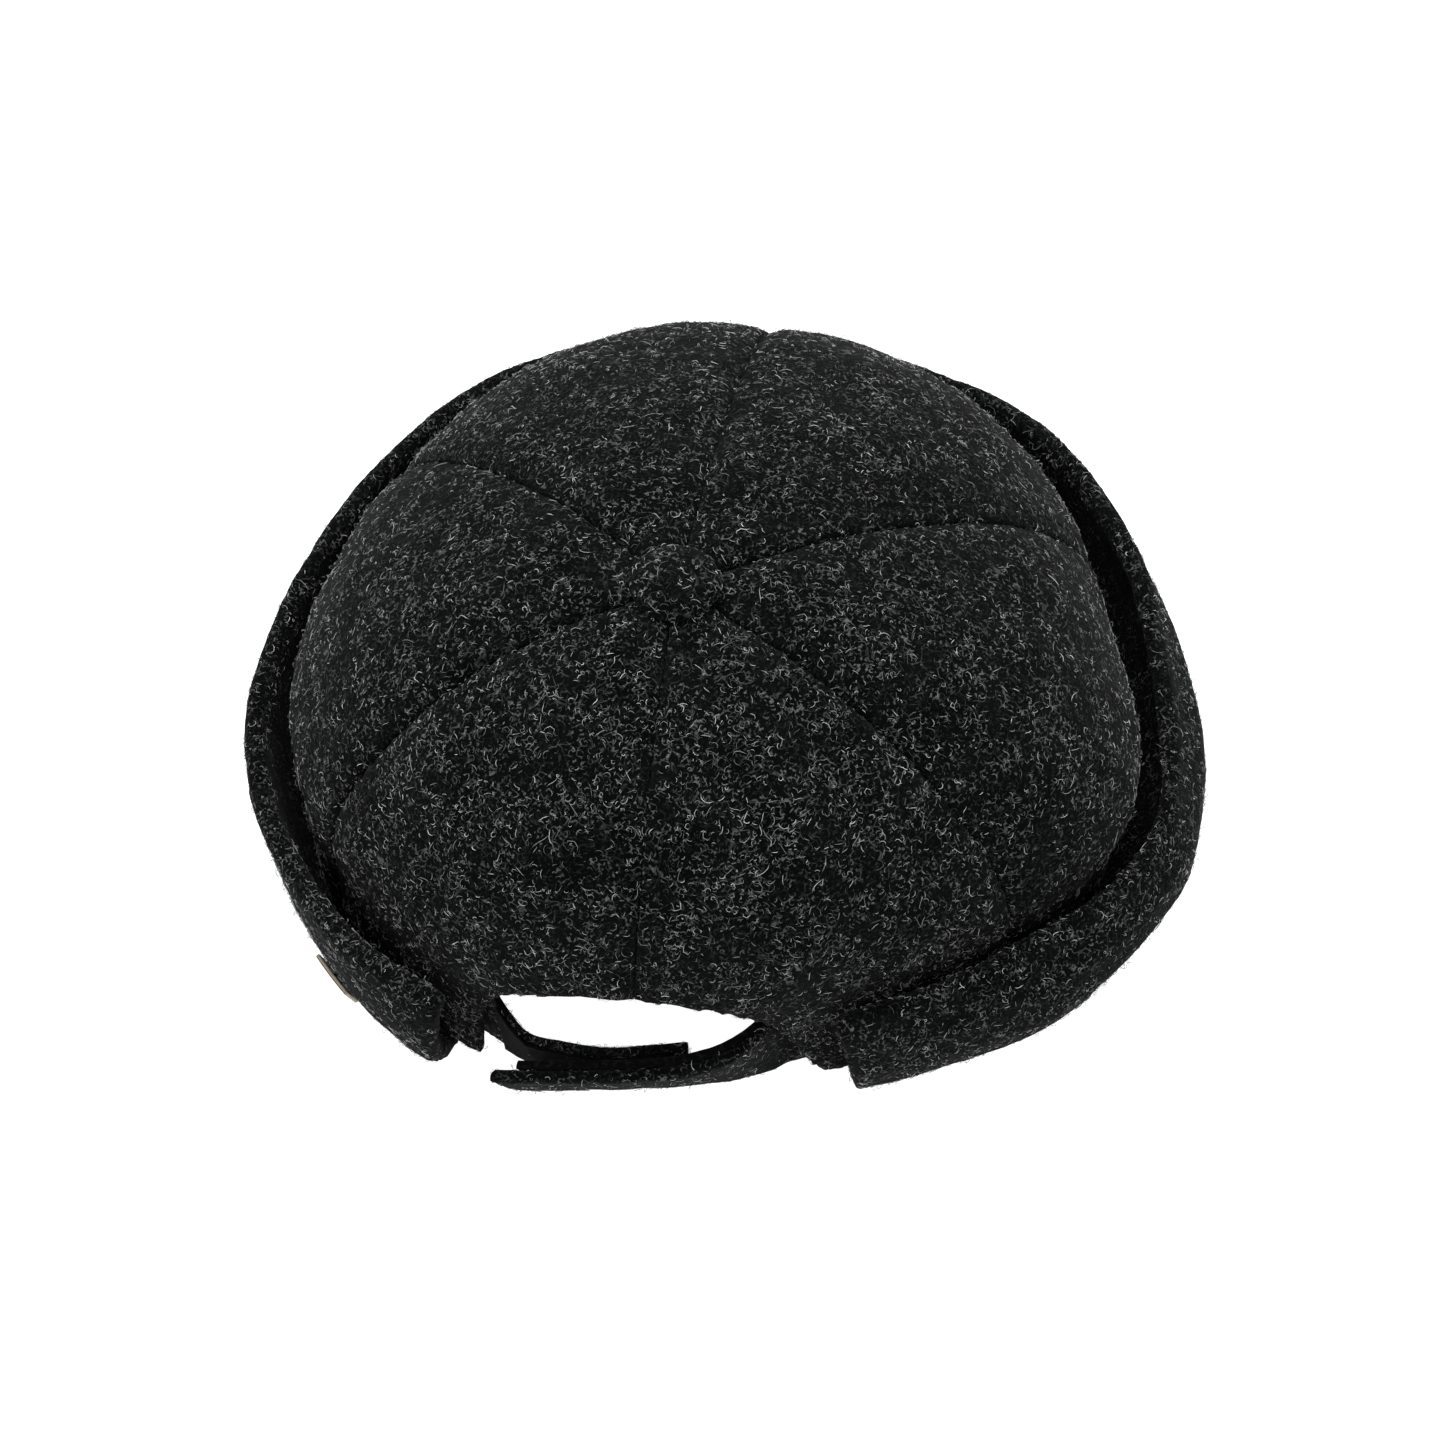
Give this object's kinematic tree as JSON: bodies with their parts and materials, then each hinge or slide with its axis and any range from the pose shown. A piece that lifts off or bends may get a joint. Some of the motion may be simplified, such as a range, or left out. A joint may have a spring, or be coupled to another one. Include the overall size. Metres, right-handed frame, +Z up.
{
  "type": "docker beanie",
  "caption": "Brimless docker cap in dark felted wool: panelled crown with covered button, turned-up cuff open at the back, and hook-and-loop straps across a back arch.",
  "frame": {"origin": "middle of the bottom of the bounding box, on the surface that the cuff's fold rests on", "axes": "+Z up through the crown, -Y towards the forehead, +Y towards the arch and straps at the back, +X towards the wearer's left"},
  "size_m": [0.218, 0.2052, 0.1028],
  "materials": {
    "wool": "matte felted wool, charcoal melange",
    "tape": "black hook-and-loop tape",
    "leather": "plain dark leather with a pale raw edge"
  },
  "bodies": {
    "root": {"crown_panel_front_left": "wool", "crown_panel_left": "wool", "crown_panel_back_left": "wool", "crown_panel_back_right": "wool", "crown_panel_right": "wool", "crown_panel_front_right": "wool", "top_button": "wool", "cuff": "wool", "strap_under": "wool", "strap_over": "wool", "loop_patch": "tape", "hook_patch": "tape", "side_patch": "leather"}
  },
  "joints": []
}
